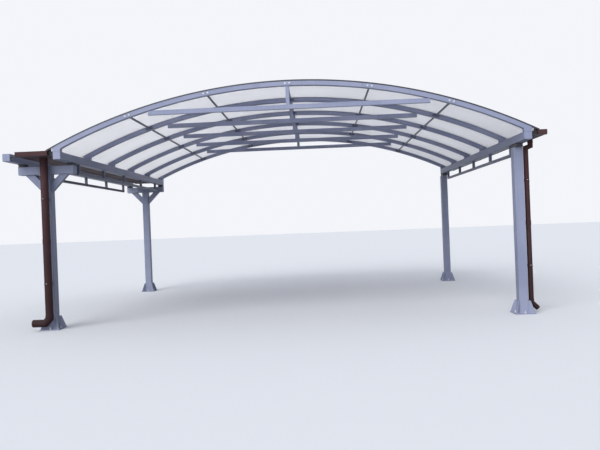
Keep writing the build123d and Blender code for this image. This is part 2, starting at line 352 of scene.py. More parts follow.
# Welds at the feet: a rippled bead where the tube and the gussets meet the plate and each
# other. One foot's beads are laid and then copied to the other three.
def lay_along(piece, start, end):
    """Turns the piece so that its own Z points from start to end, and sets it at start."""
    direction = Vector(end) - Vector(start)
    turn = direction.to_track_quat("Z", "Y").to_matrix().to_4x4()
    piece.matrix_world = Matrix.Translation(Vector(start)) @ turn
    only(piece)
    bpy.ops.object.transform_apply(location=True, rotation=True, scale=True)


def weld_bead(start, end, radius):
    """One bead from start to end, as overlapping drops of weld metal."""
    drop_pitch = radius * drop_spacing
    drops = max(2, round((Vector(end) - Vector(start)).length / drop_pitch))
    step = {"constant_offset_displace": (0, 0, drop_pitch), "use_constant_offset": True}
    bpy.ops.object.select_all(action="DESELECT")
    bpy.ops.mesh.primitive_uv_sphere_add(segments=6, ring_count=4, radius=radius)
    bead = bpy.context.object
    modify(bead, "ARRAY", use_relative_offset=False, count=drops, **step)
    lay_along(bead, start, end)
    return bead


def join(pieces, name):
    bpy.ops.object.select_all(action="DESELECT")
    for piece in pieces:
        piece.select_set(True)
    bpy.context.view_layer.objects.active = pieces[0]
    bpy.ops.object.join()
    joined = bpy.context.object
    joined.name = name
    only(joined)
    bpy.ops.object.transform_apply(location=True, rotation=True, scale=True)
    bpy.ops.object.shade_smooth_by_angle(angle=smooth_angle)
    return joined


def copy_by(piece, name, step):
    """A copy with its own mesh, moved by that step."""
    copy = bpy.data.objects.new(name, piece.data.copy())
    bpy.context.collection.objects.link(copy)
    copy.data.transform(Matrix.Translation(Vector(step)))
    return copy


def foot_middle(name):
    low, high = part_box(name)
    return Vector(((low.x + high.x) / 2, (low.y + high.y) / 2, 0))


drop_spacing = 1.3
quarter_turns = [Matrix.Rotation(math.radians(90 * quarter), 3, "Z") for quarter in range(4)]
thick_bead = 0.0035
thin_bead = 0.0030
post_half = 0.060
plate_top = 0.012
gusset_height = 0.160
gusset_length = 0.085
gusset_half = 0.004
first_foot = foot_middle(post_names[0])
foot_beads = []
for turn in quarter_turns:
    side_start = first_foot + turn @ Vector((post_half, -post_half, plate_top))
    corner = first_foot + turn @ Vector((post_half, post_half, plate_top))
    foot_beads.append(weld_bead(side_start, corner, thick_bead))
    outward = turn @ Vector((1, 1, 0)).normalized()
    across = turn @ Vector((1, -1, 0)).normalized()
    for side in (-gusset_half, gusset_half):
        root = corner + across * side
        foot_beads.append(weld_bead(root, root + Vector((0, 0, gusset_height)), thin_bead))
        foot_beads.append(weld_bead(root, root + outward * gusset_length, thin_bead))
foot_welds = join(foot_beads, "foot_welds_right_front")
for name in post_names[1:]:
    step = foot_middle(name) - first_foot
    copied = copy_by(foot_welds, name.replace("post", "foot_welds"), step)
    finish_piece(copied, frame_paint)
finish_piece(foot_welds, frame_paint)


# Anchor bolts: galvanised threaded rods set in the footing, one in the middle of each side of
# the plate, with a washer and a hexagon nut run down by hand spanner.
def make_bolt_coat(name, coat, coat_dull, metal):
    material, shader, place = start_finish(name)
    spangle = place.node("ShaderNodeTexVoronoi", {}, {"Vector": place, "Scale": 160.0})
    blend_colour(limited(spangle, 0.1, 0.8), coat, coat_dull).into(shader, "Base Color")
    (0.46 + spangle * 0.25).into(shader, "Roughness")
    shader.inputs["Metallic"].default_value = metal
    return material


def disc(sides, radius, bottom, height, chamfer=0.0):
    """A cylinder or prism that stands on that bottom level, its edges chamfered if so asked."""
    bpy.ops.object.select_all(action="DESELECT")
    middle = (0, 0, bottom + height / 2)
    bpy.ops.mesh.primitive_cylinder_add(vertices=sides, radius=radius, depth=height, location=middle)
    if chamfer > 0:
        bpy.ops.object.mode_set(mode="EDIT")
        bpy.ops.mesh.select_all(action="SELECT")
        bpy.ops.mesh.bevel(offset=chamfer, segments=1, affect="EDGES")
        bpy.ops.object.mode_set(mode="OBJECT")
    return bpy.context.object


def bolt_pattern(name, washer, hexagon, rod=None):
    """A washer with a hexagon on it, each given by its radius and height, and the end of a
    threaded rod, given by its radius and how far it stands out."""
    washer_radius, washer_height = washer
    hex_radius, hex_height = hexagon
    made = [
        disc(16, washer_radius, 0, washer_height),
        disc(6, hex_radius, washer_height, hex_height, hex_height * hex_chamfer),
    ]
    if rod:
        rod_radius, rod_reach = rod
        rod_end = rod_radius * rod_chamfer
        made.append(disc(12, rod_radius, washer_height, hex_height + rod_reach, rod_end))
    return join(made, name)


def set_copies(pattern, places, name):
    """Copies of a small part at each place, which is a point and the way its top faces."""
    copies = []
    for point, facing in places:
        copy = bpy.data.objects.new(name, pattern.data.copy())
        bpy.context.collection.objects.link(copy)
        turn = Vector(facing).to_track_quat("Z", "Y").to_matrix().to_4x4()
        copy.data.transform(Matrix.Translation(Vector(point)) @ turn)
        copies.append(copy)
    return join(copies, name)


hex_chamfer = 0.12
rod_chamfer = 0.15
zinc = (0.72, 0.74, 0.77, 1)
zinc_dull = (0.54, 0.56, 0.59, 1)
galvanised = make_bolt_coat("galvanised_bolts", zinc, zinc_dull, 0.25)
anchor_circle = 0.097
anchor = bolt_pattern("anchor_pattern", (0.017, 0.003), (0.0139, 0.013), (0.008, 0.016))
for name in post_names:
    middle = foot_middle(name)
    anchor_seat = Vector((anchor_circle, 0, plate_top))
    places = [(middle + turn @ anchor_seat, (0, 0, 1)) for turn in quarter_turns]
    anchors = set_copies(anchor, places, name.replace("post", "anchor_bolts"))
    finish_piece(anchors, galvanised)
bpy.data.objects.remove(anchor)


# T-heads: a cross arm welded on each left post, with a knee brace on both sides that is cut
# from smaller tube. They carry this row's beam and the next row's.
arm_corner = 0.006
brace_reach = 0.240
brace_drop = 0.250
brace_gap = 0.112
brace_half = 0.030
for name, post_name in (("t_head_front", "post_left_front"), ("t_head_rear", "post_left_rear")):
    head = solid_copy(name, name + "_steel")
    round_edges(head, arm_corner, 3)
    finish_piece(head, frame_paint)
    post_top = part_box(post_name)[1].z
    middle = foot_middle(post_name)
    middle.z = post_top
    head_beads = []
    for turn in quarter_turns:
        edge_start = middle + turn @ Vector((post_half, -post_half, 0))
        edge_end = middle + turn @ Vector((post_half, post_half, 0))
        head_beads.append(weld_bead(edge_start, edge_end, thick_bead))
    for side in (-1, 1):
        for face in (-brace_half, brace_half):
            foot = middle + Vector((side * post_half, face, -brace_drop))
            top = middle + Vector((side * post_half, face, -brace_gap))
            head_beads.append(weld_bead(foot, top, thick_bead))
            near = middle + Vector((side * (post_half + brace_gap), face, 0))
            far = middle + Vector((side * (post_half + brace_reach), face, 0))
            head_beads.append(weld_bead(near, far, thick_bead))
    head_welds = join(head_beads, name + "_welds")
    finish_piece(head_welds, frame_paint)


# Packers: a dark block between steel plates on each post and arm, that brings the beams to
# their level. Their sides stand back a little between the plates.
def make_packer_steel():
    # The near black is partly the packer's own dark steel and partly painted shade from under the beams.
    packer_near_black = (0.042, 0.047, 0.058, 1)
    rust = (0.075, 0.054, 0.045, 1)
    pitting = 0.0004
    material, shader, place = start_finish("packer_steel")
    spots = limited(noise(place, 60.0, 6.0), 0.45, 0.75)
    blend_colour(spots, packer_near_black, rust).into(shader, "Base Color")
    (0.55 + spots * 0.3).into(shader, "Roughness")
    raise_grain(shader, noise(place, 240.0, 4.0), pitting)
    return material


def choose_faces(piece, wanted):
    """In edit mode, selects the faces that the test wants."""
    bpy.ops.mesh.select_mode(type="FACE")
    bpy.ops.mesh.select_all(action="DESELECT")
    shape = bmesh.from_edit_mesh(piece.data)
    for face in shape.faces:
        face.select_set(wanted(face))
    bmesh.update_edit_mesh(piece.data)


def cut_level(piece, height):
    """In edit mode, cuts all the way round at that height."""
    bpy.ops.mesh.select_all(action="SELECT")
    bpy.ops.mesh.bisect(plane_co=(0, 0, height), plane_no=(0, 0, 1))


packer_steel = make_packer_steel()
packers = solid_copy("beam_packers", "beam_packers_stack")
packer_plate = 0.007
packer_recess = 0.006
packer_inset = 0.0005
packer_corner = 0.0012
beams_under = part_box("eaves_beam_right")[0].z
right_post_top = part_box("post_right_front")[1].z
arm_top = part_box("t_head_front")[1].z
only(packers)
bpy.ops.object.mode_set(mode="EDIT")
for level in (beams_under - packer_plate, right_post_top + packer_plate, arm_top + packer_plate):
    cut_level(packers, level)


def between_plates(face):
    middle = face.calc_center_median()
    bottom = right_post_top if middle.x > 0 else arm_top
    inside = bottom + packer_plate < middle.z < beams_under - packer_plate
    return inside and abs(face.normal.z) < 0.5


choose_faces(packers, between_plates)
bpy.ops.mesh.inset(thickness=packer_inset, depth=-packer_recess)
bpy.ops.object.mode_set(mode="OBJECT")
round_edges(packers, packer_corner, 1)
finish_piece(packers, packer_steel)


# Eaves beams: square tubes along the three eaves, closed at both ends, each with a ladder
# frame welded under it from lighter tube. The ladders and the purlins get a darker copy of the
# slate paint, which is painted shade for the shade they hang in.
# A darker copy of the slate paint: painted shade for the ladders and purlins, which hang in shade.
shaded_slate = (0.116, 0.130, 0.197, 1)
shaded_slate_pale = (0.146, 0.161, 0.236, 1)
shaded_slate_washed = (0.089, 0.101, 0.153, 1)
shaded_paint = make_slate_paint("shaded_slate_paint", shaded_slate, shaded_slate_pale, shaded_slate_washed)
beam_corner = 0.007
ladder_corner = 0.004
ladder_half = 0.020
rungs = 5
first_rung_welds = None
for side in ("right", "left", "party"):
    beam = solid_copy(f"eaves_beam_{side}", f"eaves_beam_{side}_steel")
    round_edges(beam, beam_corner, 3)
    finish_piece(beam, frame_paint)
    ladder = solid_copy(f"ladder_{side}", f"ladder_{side}_steel")
    round_edges(ladder, ladder_corner, 2)
    finish_piece(ladder, shaded_paint)
    ladder_low, ladder_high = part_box(f"ladder_{side}")
    if first_rung_welds is None:
        first_ladder_x = ladder_low.x
        rung_pitch = (ladder_high.y - ladder_low.y - 2 * ladder_half) / (rungs - 1)
        rung_beads = []
        for rung in range(rungs):
            rung_y = ladder_low.y + ladder_half + rung * rung_pitch
            for edge_x in (ladder_low.x, ladder_high.x):
                for edge_z in (ladder_low.z + 2 * ladder_half, ladder_high.z):
                    bead_start = (edge_x, rung_y - ladder_half, edge_z)
                    bead_end = (edge_x, rung_y + ladder_half, edge_z)
                    rung_beads.append(weld_bead(bead_start, bead_end, thin_bead))
        rung_welds = join(rung_beads, f"ladder_{side}_welds")
        first_rung_welds = rung_welds
    else:
        step = (ladder_low.x - first_ladder_x, 0, 0)
        rung_welds = copy_by(first_rung_welds, f"ladder_{side}_welds", step)
    finish_piece(rung_welds, shaded_paint)


# Arches: square tube bent to one radius, with upright ends that stand on the beams, rounded
# inside the bend and welded all round at the foot.
arch_corner = 0.005
arch_count = 6
arch_low, arch_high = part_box("arch_1")
beam_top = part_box("eaves_beam_right")[1].z
beam_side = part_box("eaves_beam_right")[1].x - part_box("eaves_beam_right")[0].x
arch_width = arch_high.y - arch_low.y
front_y = arch_low.y
rear_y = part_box(f"arch_{arch_count}")[1].y
bay_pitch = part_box("arch_2")[0].y - front_y
middle_x = (arch_low.x + arch_high.x) / 2
arch_half = (arch_high.x - arch_low.x) / 2
arch_rise = 0.715
arch_radius = (arch_half**2 + arch_rise**2) / (2 * arch_rise)
axis_z = arch_high.z - arch_radius
arch_angle = math.asin(arch_half / arch_radius)


def weld_every_bay(beads, kind, last):
    """Joins the first bay's beads, and copies them to each bay up to the last."""
    welds = join(beads, f"{kind}_1_welds")
    for number in range(2, last + 1):
        copied = copy_by(welds, f"{kind}_{number}_welds", (0, (number - 1) * bay_pitch, 0))
        finish_piece(copied, frame_paint)
    finish_piece(welds, frame_paint)


for number in range(1, arch_count + 1):
    arch = solid_copy(f"arch_{number}", f"arch_{number}_steel")
    round_edges(arch, arch_corner, 2, clamp=False)
    finish_piece(arch, frame_paint)
heel_bead = 0.0032
heel_beads = []
for heel_x in (middle_x - arch_half + beam_side / 2, middle_x + arch_half - beam_side / 2):
    for edge_y in (front_y, front_y + arch_width):
        heel_start = (heel_x - beam_side / 2, edge_y, beam_top)
        heel_end = (heel_x + beam_side / 2, edge_y, beam_top)
        heel_beads.append(weld_bead(heel_start, heel_end, heel_bead))
    for side in (-beam_side / 2, beam_side / 2):
        heel_start = (heel_x + side, front_y, beam_top)
        heel_end = (heel_x + side, front_y + arch_width, beam_top)
        heel_beads.append(weld_bead(heel_start, heel_end, heel_bead))
weld_every_bay(heel_beads, "arch", arch_count)


# Ties: a level tube coped to each of the first five arches, with a short king post to the
# crown. All are of lighter tube than the arches.
tie_corner = 0.004
for number in range(1, arch_count):
    tie = solid_copy(f"tie_{number}", f"tie_{number}_steel")
    round_edges(tie, tie_corner, 2, clamp=False)
    finish_piece(tie, frame_paint)


def arc_point(angle, radius, y):
    return Vector((middle_x + radius * math.sin(angle), y, axis_z + radius * math.cos(angle)))


arch_depth = 0.060
tie_depth = 0.060
king_half = 0.024
tie_low, tie_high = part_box("tie_1")
arch_under = arch_radius - arch_depth
tie_top = tie_low.z + tie_depth
end_angle = math.asin((tie_high.x - middle_x) / arch_under)
cope_angle = math.acos((tie_top - axis_z) / arch_under)
tie_beads = []
for face_y in (tie_low.y, tie_high.y):
    for side in (-1, 1):
        cope_start = arc_point(side * cope_angle, arch_under, face_y)
        cope_end = arc_point(side * end_angle, arch_under, face_y)
        tie_beads.append(weld_bead(cope_start, cope_end, thin_bead))
    for level in (tie_top, tie_high.z):
        bead_start = (middle_x - king_half, face_y, level)
        bead_end = (middle_x + king_half, face_y, level)
        tie_beads.append(weld_bead(bead_start, bead_end, thin_bead))
for side in (-1, 1):
    for angle in (cope_angle, end_angle):
        bead_start = arc_point(side * angle, arch_under, tie_low.y)
        bead_end = arc_point(side * angle, arch_under, tie_high.y)
        tie_beads.append(weld_bead(bead_start, bead_end, thin_bead))
    for level in (tie_top, tie_high.z):
        bead_start = (middle_x + side * king_half, tie_low.y, level)
        bead_end = (middle_x + side * king_half, tie_high.y, level)
        tie_beads.append(weld_bead(bead_start, bead_end, thin_bead))
weld_every_bay(tie_beads, "tie", arch_count - 1)


# Purlins: short slim tubes from arch to arch, with a plate welded on each end, in the ladders'
# darker slate, which is painted shade. Two bolts go through the plates and the arch between them.
# They are bright galvanised on the front arch. Under the roof the heads and nuts take the darker
# slate instead, as painted shade.
def choose_tube_corners(row, axis):
    """In edit mode, selects the corners of the tubes and leaves those of the end plates."""
    bpy.ops.mesh.select_mode(type="VERT")
    bpy.ops.mesh.select_all(action="DESELECT")
    shape = bmesh.from_edit_mesh(row.data)
    for corner in shape.verts:
        corner.select_set((corner.co - axis).xz.length < purlin_reach)
    bmesh.update_edit_mesh(row.data)


# Bolts under the roof get the shaded slate instead of bright zinc: painted shade.
shaded_bolts = make_bolt_coat("shaded_bolts", shaded_slate_pale, shaded_slate, 0.0)
purlin_corner = 0.0015
purlin_lines = 5
purlin_depth = 0.029
purlin_plate = 0.006
purlin_reach = 0.025
purlin_slimming = 0.72
bolt_spread = 0.028
bolt_head = bolt_pattern("bolt_head_pattern", (0.0130, 0.0025), (0.0112, 0.0080))
bolt_nut = bolt_pattern("bolt_nut_pattern", (0.0130, 0.0025), (0.0112, 0.0105), (0.0070, 0.005))
purlin_radius = arch_radius - purlin_depth
front_heads = []
for line in range(1, purlin_lines + 1):
    row = solid_copy(f"purlin_row_{line}", f"purlin_row_{line}_steel")
    line_angle = arch_angle * (2 * line / (purlin_lines + 1) - 1)
    row_axis = arc_point(line_angle, purlin_radius, 0)
    only(row)
    bpy.ops.object.mode_set(mode="EDIT")
    choose_tube_corners(row, row_axis)
    bpy.ops.transform.resize(value=(purlin_slimming, 1, purlin_slimming), center_override=row_axis)
    bpy.ops.object.mode_set(mode="OBJECT")
    round_edges(row, purlin_corner, 2)
    finish_piece(row, shaded_paint)
    heads = []
    nuts = []
    for number in range(arch_count):
        near_face = front_y + number * bay_pitch - (purlin_plate if number > 0 else 0)
        far_face = front_y + number * bay_pitch + arch_width
        far_face += purlin_plate if number < arch_count - 1 else 0
        shown_heads = heads if number > 0 else front_heads
        for side in (-1, 1):
            bolt_angle = line_angle + side * bolt_spread / purlin_radius
            shown_heads.append((arc_point(bolt_angle, purlin_radius, near_face), (0, -1, 0)))
            nuts.append((arc_point(bolt_angle, purlin_radius, far_face), (0, 1, 0)))
    head_set = set_copies(bolt_head, heads, f"purlin_bolts_{line}")
    nut_set = set_copies(bolt_nut, nuts, f"purlin_nuts_{line}")
    finish_piece(head_set, shaded_bolts)
    finish_piece(nut_set, shaded_bolts)
front_head_set = set_copies(bolt_head, front_heads, "front_arch_bolts")
finish_piece(front_head_set, galvanised)
bpy.data.objects.remove(bolt_head)
bpy.data.objects.remove(bolt_nut)


# Roof sheets: opal multiwall plastic, one sheet to a bay, bent over the arches with its walls
# along the bend. Daylight comes through it, and the walls show as fine lines.
def make_opal_skin(name, opal, opal_wall, glow, settled):
    """One skin of the sheet. Daylight from the other skin comes through by its share of glow,
    and dust has settled on it beside the cover strips and towards the eaves."""
    grime = (0.50, 0.50, 0.50, 1)
    grime_share = 0.16
    dust = (0.46, 0.455, 0.43, 1)
    dust_near = 0.028
    dust_far = 0.085
    eave_dust = 0.18
    wall_pitch = 0.0105
    wall_share = 0.6
    ripple_height = 0.00008
    material, shader, place = start_finish(name)
    ripple = place.maths("SINE", along(place, 1) * (2 * math.pi / wall_pitch))
    walls = limited(ripple, 0.55, 0.95) * wall_share
    clean = blend_colour(walls, opal, opal_wall)
    runs = stretched(place, (0.6, 9.0, 0.6))
    streaks = limited(noise(runs, 2.4, 5.0), 0.48, 0.8) * grime_share
    streaked_coat = blend_colour(streaks, clean, grime)
    bays = (along(place, 1) - (front_y + arch_width / 2)) / bay_pitch
    from_strip = bays.maths("ABSOLUTE", bays - bays.maths("ROUND", bays)) * bay_pitch
    beside_strip = 1 - limited(from_strip, dust_near, dust_far)
    near_eaves = 1 - limited(height_of(place), beam_top + dust_near, beam_top + eave_dust)
    edges = beside_strip.maths("MAXIMUM", beside_strip, near_eaves)
    dusty = edges * limited(noise(place, 8.0, 6.0), 0.3, 0.7) * settled
    blend_colour(dusty, streaked_coat, dust).into(shader, "Base Color")
    (0.52 + walls * 0.1 + streaks * 0.6).into(shader, "Roughness")
    raise_grain(shader, ripple * 0.5 + 0.5, ripple_height)
    shader.inputs["Transmission Weight"].default_value = 0.42
    shader.inputs["IOR"].default_value = 1.15
    shader.inputs["Subsurface Weight"].default_value = glow
    shader.inputs["Subsurface Radius"].default_value = (1.0, 1.0, 1.0)
    shader.inputs["Subsurface Scale"].default_value = 1.0
    return material


# The under skin is painted near white and lighter than the upper skin: painted light for the daylight
# that comes through the sheet.
lit_opal = (0.970, 0.955, 0.99, 1)
lit_wall = (0.88, 0.87, 0.94, 1)
upper_opal = (0.81, 0.815, 0.86, 1)
upper_wall = (0.71, 0.715, 0.77, 1)
under_skin = make_opal_skin("opal_under_skin", lit_opal, lit_wall, 1.0, 0.0)
upper_skin = make_opal_skin("opal_upper_skin", upper_opal, upper_wall, 0.0, 0.35)
sheet_count = 5
for number in range(1, sheet_count + 1):
    sheet = solid_copy(f"roof_sheet_{number}", f"roof_sheet_{number}_opal")
    smooth(sheet)
    finish_piece(sheet, under_skin)
    sheet.data.materials.append(upper_skin)
    for face in sheet.data.polygons:
        face.material_index = 1 if face.normal.z > 0.5 else 0


# Cover strips: dark aluminium over each joint and along both end edges, pressed down by
# screws with sealing washers on a soft gasket each side.
def make_dark_trim():
    anthracite = (0.030, 0.032, 0.045, 1)
    chalky = (0.075, 0.078, 0.092, 1)
    chalk_share = 0.5
    material, shader, place = start_finish("dark_trim")
    patches = noise(place, 6.0, 5.0)
    chalk = limited(patches, 0.45, 0.75) * chalk_share
    blend_colour(chalk, anthracite, chalky).into(shader, "Base Color")
    (0.32 + patches * 0.2).into(shader, "Roughness")
    return material


def make_rubber():
    black = (0.010, 0.010, 0.011, 1)
    faded = (0.028, 0.028, 0.030, 1)
    material, shader, place = start_finish("black_rubber_and_shade")
    grain = noise(place, 90.0, 3.0)
    blend_colour(grain, black, faded).into(shader, "Base Color")
    (0.6 + grain * 0.25).into(shader, "Roughness")
    return material


def bent_strip(name, start_y, end_y, inner_radius, outer_radius):
    """A strip of rectangular section along the bend of the roof, spun about its axis."""
    bpy.ops.object.select_all(action="DESELECT")
    middle_radius = (inner_radius + outer_radius) / 2
    start_middle = arc_point(-sheet_half_angle, middle_radius, (start_y + end_y) / 2)
    bpy.ops.mesh.primitive_plane_add(size=1, location=(0, 0, 0))
    strip = bpy.context.object
    strip.name = name
    lengthwise = Vector((math.cos(sheet_half_angle), 0, math.sin(sheet_half_angle)))
    outward = Vector((-math.sin(sheet_half_angle), 0, math.cos(sheet_half_angle)))
    across = Vector((0, end_y - start_y, 0))
    section = Matrix((outward * (outer_radius - inner_radius), across, lengthwise))
    strip.data.transform(Matrix.Translation(start_middle) @ section.transposed().to_4x4())
    only(strip)
    bpy.ops.object.mode_set(mode="EDIT")
    bpy.ops.mesh.select_all(action="SELECT")
    arc = -2 * sheet_half_angle
    centre = (middle_x, 0, axis_z)
    bpy.ops.mesh.spin(steps=bend_steps, angle=arc, center=centre, axis=(0, 1, 0), dupli=False)
    bpy.ops.mesh.select_all(action="SELECT")
    bpy.ops.mesh.remove_doubles(threshold=merge_distance)
    bpy.ops.mesh.normals_make_consistent(inside=False)
    bpy.ops.object.mode_set(mode="OBJECT")
    bpy.ops.object.shade_smooth_by_angle(angle=smooth_angle)
    return strip


dark_trim = make_dark_trim()
rubber_and_shade = make_rubber()
sheet_thickness = 0.010
cover_thickness = 0.004
cover_corner = 0.001
bend_steps = 64
sheet_top = arch_radius + sheet_thickness
sheet_half_angle = math.asin((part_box("roof_sheet_1")[1].x - middle_x) / sheet_top)
cover_top = sheet_top + cover_thickness
screw_spread = 18
screw_reach = 0.97
gasket_side = 0.003
screw = bolt_pattern("screw_pattern", (0.0095, 0.0022), (0.0052, 0.0045))
for number in range(1, arch_count + 1):
    cover = solid_copy(f"cover_strip_{number}", f"cover_strip_{number}_dark")
    round_edges(cover, cover_corner, 1)
    finish_piece(cover, dark_trim)
    cover_low, cover_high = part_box(f"cover_strip_{number}")
    cover_y = (cover_low.y + cover_high.y) / 2
    screws = []
    for step in range(screw_spread):
        angle = sheet_half_angle * screw_reach * (2 * step / (screw_spread - 1) - 1)
        screws.append((arc_point(angle, cover_top, cover_y), (math.sin(angle), 0, math.cos(angle))))
    screw_set = set_copies(screw, screws, f"cover_screws_{number}")
    finish_piece(screw_set, galvanised)
    gasket_top = sheet_top + gasket_side
    gaskets = []
    if number > 1:
        near_start = cover_low.y - gasket_side
        gaskets.append(bent_strip("gasket", near_start, cover_low.y, sheet_top, gasket_top))
    if number < arch_count:
        far_end = cover_high.y + gasket_side
        gaskets.append(bent_strip("gasket", cover_high.y, far_end, sheet_top, gasket_top))
    gasket_pair = join(gaskets, f"cover_gasket_{number}")
    finish_piece(gasket_pair, rubber_and_shade)
bpy.data.objects.remove(screw)


# Edge trims: a thin dark flashing closes the front and rear edges of the roof. Along the eaves
# a channel closes the open ends of each sheet and drips into the gutter.
def block(middle, size):
    """A plain box of that size about its middle."""
    bpy.ops.object.select_all(action="DESELECT")
    bpy.ops.mesh.primitive_cube_add(size=1, location=(0, 0, 0))
    made = bpy.context.object
    made.data.transform(Matrix.Translation(middle) @ Matrix.Diagonal((*size, 1)))
    return made


flashing_thickness = 0.002
flashing_lap = 0.002
for end, face_y, way in (("front", front_y, -1), ("rear", rear_y, 1)):
    near_y, far_y = sorted((face_y, face_y + way * flashing_thickness))
    flashing_low = arch_radius - flashing_lap
    flashing = bent_strip(f"edge_flashing_{end}", near_y, far_y, flashing_low, cover_top)
    finish_piece(flashing, dark_trim)

channel_cover = 0.022
channel_wall = 0.0015
channel_end = 0.003
channel_gap = 0.002
channel_corner = 0.0008
drip_length = 0.006
for side, side_name in ((-1, "left"), (1, "right")):
    channels = []
    for number in range(1, sheet_count + 1):
        sheet_low, sheet_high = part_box(f"roof_sheet_{number}")
        length = channel_cover + channel_end
        height = sheet_thickness + 2 * channel_wall
        inset_y = 0.0 if number in (1, sheet_count) else channel_gap
        width = sheet_high.y - sheet_low.y - 2 * inset_y
        channel = block((0, 0, 0), (length, width, height))
        only(channel)
        bpy.ops.object.mode_set(mode="EDIT")
        cut_at = length / 2 - channel_end
        bpy.ops.mesh.select_all(action="SELECT")
        bpy.ops.mesh.bisect(plane_co=(cut_at, 0, 0), plane_no=(1, 0, 0))
        choose_faces(channel, lambda face: face.normal.z < -0.5 and face.calc_center_median().x > cut_at)
        bpy.ops.mesh.extrude_region_move(TRANSFORM_OT_translate={"value": (0, 0, -drip_length)})
        bpy.ops.mesh.select_all(action="SELECT")
        bpy.ops.mesh.normals_make_consistent(inside=False)
        bpy.ops.object.mode_set(mode="OBJECT")
        middle_angle = side * (sheet_half_angle - (channel_cover - channel_end) / 2 / arch_radius)
        channel_y = (sheet_low.y + sheet_high.y) / 2
        seat_point = arc_point(middle_angle, arch_radius + sheet_thickness / 2, channel_y)
        facing = Matrix.Rotation(0 if side > 0 else math.pi, 4, "Z")
        slope = Matrix.Rotation(side * abs(middle_angle), 4, "Y")
        channel.data.transform(Matrix.Translation(seat_point) @ slope @ facing)
        channels.append(channel)
    eave_channel = join(channels, f"eave_channel_{side_name}")
    round_edges(eave_channel, channel_corner, 1)
    finish_piece(eave_channel, dark_trim)


# Gutters: brown coated box gutters on brackets, with a pressed cap round each end and a sleeve
# round the joint half a bay behind their middle. The same brown darkens towards the ground.
def make_gutter_brown():
    brown = (0.059, 0.028, 0.032, 1)
    brown_dull = (0.078, 0.042, 0.046, 1)
    drip = (0.035, 0.020, 0.023, 1)
    drip_share = 0.5
    darker_low = (0.020, 0.012, 0.013, 1)
    darker_low_top = 1.9
    darker_low_share = 0.6
    coat_grain = 0.00008
    material, shader, place = start_finish("gutter_brown")
    patches = noise(place, 3.1, 5.0)
    base = blend_colour(limited(patches, 0.4, 0.72), brown, brown_dull)
    runs = stretched(place, (14.0, 14.0, 0.9))
    streaks = limited(noise(runs, 3.0, 3.0), 0.5, 0.85) * drip_share
    coat = blend_colour(streaks, base, drip)
    # Darker brown towards the ground, fading out at that top level.
    low = (1 - limited(height_of(place), 0.0, darker_low_top)) * darker_low_share
    blend_colour(low, coat, darker_low).into(shader, "Base Color")
    (0.50 + patches * 0.2).into(shader, "Roughness")
    shader.inputs["Specular IOR Level"].default_value = 0.12
    raise_grain(shader, noise(place, 180.0), coat_grain)
    return material


def wrap_box(name, low, high):
    """A pressed cap or sleeve: thin metal round the gutter's two sides and its bottom."""
    wrap = block((low + high) / 2, high - low)
    wrap.name = name
    only(wrap)
    bpy.ops.object.mode_set(mode="EDIT")
    choose_faces(wrap, lambda face: face.normal.z > 0.5)
    bpy.ops.mesh.delete(type="ONLY_FACE")
    choose_faces(wrap, lambda face: abs(face.normal.y) > 0.5)
    bpy.ops.mesh.delete(type="ONLY_FACE")
    bpy.ops.object.mode_set(mode="OBJECT")
    modify(wrap, "SOLIDIFY", thickness=cap_wall, offset=-1)
    return wrap


gutter_brown = make_gutter_brown()
cap_reach = 0.022
cap_wall = 0.0012
cap_drop = 0.001
cap_corner = 0.0005
gutter_corner = 0.0008
sleeve_half = 0.070
for name in ("gutter_right", "gutter_valley"):
    gutter = solid_copy(name, name + "_brown")
    round_edges(gutter, gutter_corner, 1)
    finish_piece(gutter, gutter_brown)
    low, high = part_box(name)
    sleeve_y = (low.y + high.y) / 2 + bay_pitch / 2
    spans = [
        (low.y, low.y + cap_reach),
        (high.y - cap_reach, high.y),
        (sleeve_y - sleeve_half, sleeve_y + sleeve_half),
    ]
    fittings = []
    for near_y, far_y in spans:
        wrap_low = Vector((low.x - cap_wall, near_y, low.z - cap_wall))
        wrap_high = Vector((high.x + cap_wall, far_y, high.z - cap_drop))
        fittings.append(wrap_box("cap", wrap_low, wrap_high))
    gutter_fittings = join(fittings, name + "_caps")
    round_edges(gutter_fittings, cap_corner, 1)
    finish_piece(gutter_fittings, gutter_brown)


# Gutter brackets: bent from dark flat bar, screwed to the beams' sides at every arch. A black
# plate stands on each, from beam to gutter, and leaves a slot beside the arch's end. The plate is
# painted shade: a black sheet put where the gap between arch and gutter lies in shade.
bracket_corner = 0.001
bracket_thickness = 0.004
leaf_screw_drop = 0.022
brackets = solid_copy("gutter_brackets", "gutter_brackets_bar")
round_edges(brackets, bracket_corner, 1)
finish_piece(brackets, dark_trim)
leaf_screw = bolt_pattern("leaf_screw_pattern", (0.0075, 0.0016), (0.0058, 0.0048))
gutter_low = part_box("gutter_right")[0]
valley_low, valley_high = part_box("gutter_valley")
leaf_screw_level = valley_low.z - leaf_screw_drop
beam_right_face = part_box("eaves_beam_right")[1].x
beam_left_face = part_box("eaves_beam_left")[0].x
beam_party_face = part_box("eaves_beam_party")[1].x
leaf_screws = []
for number in range(arch_count):
    arch_middle = front_y + number * bay_pitch + arch_width / 2
    for face_x, way in ((beam_right_face, 1), (beam_left_face, -1), (beam_party_face, 1)):
        point = (face_x + way * bracket_thickness, arch_middle, leaf_screw_level)
        leaf_screws.append((point, (way, 0, 0)))
leaf_screw_set = set_copies(leaf_screw, leaf_screws, "gutter_bracket_screws")
finish_piece(leaf_screw_set, galvanised)
bpy.data.objects.remove(leaf_screw)

web_slot = 0.030
web_clear = 0.003
web_thickness = 0.004
web_corner = 0.0006


def sheet_under(x):
    return axis_z + math.sqrt(arch_radius**2 - (x - middle_x) ** 2)


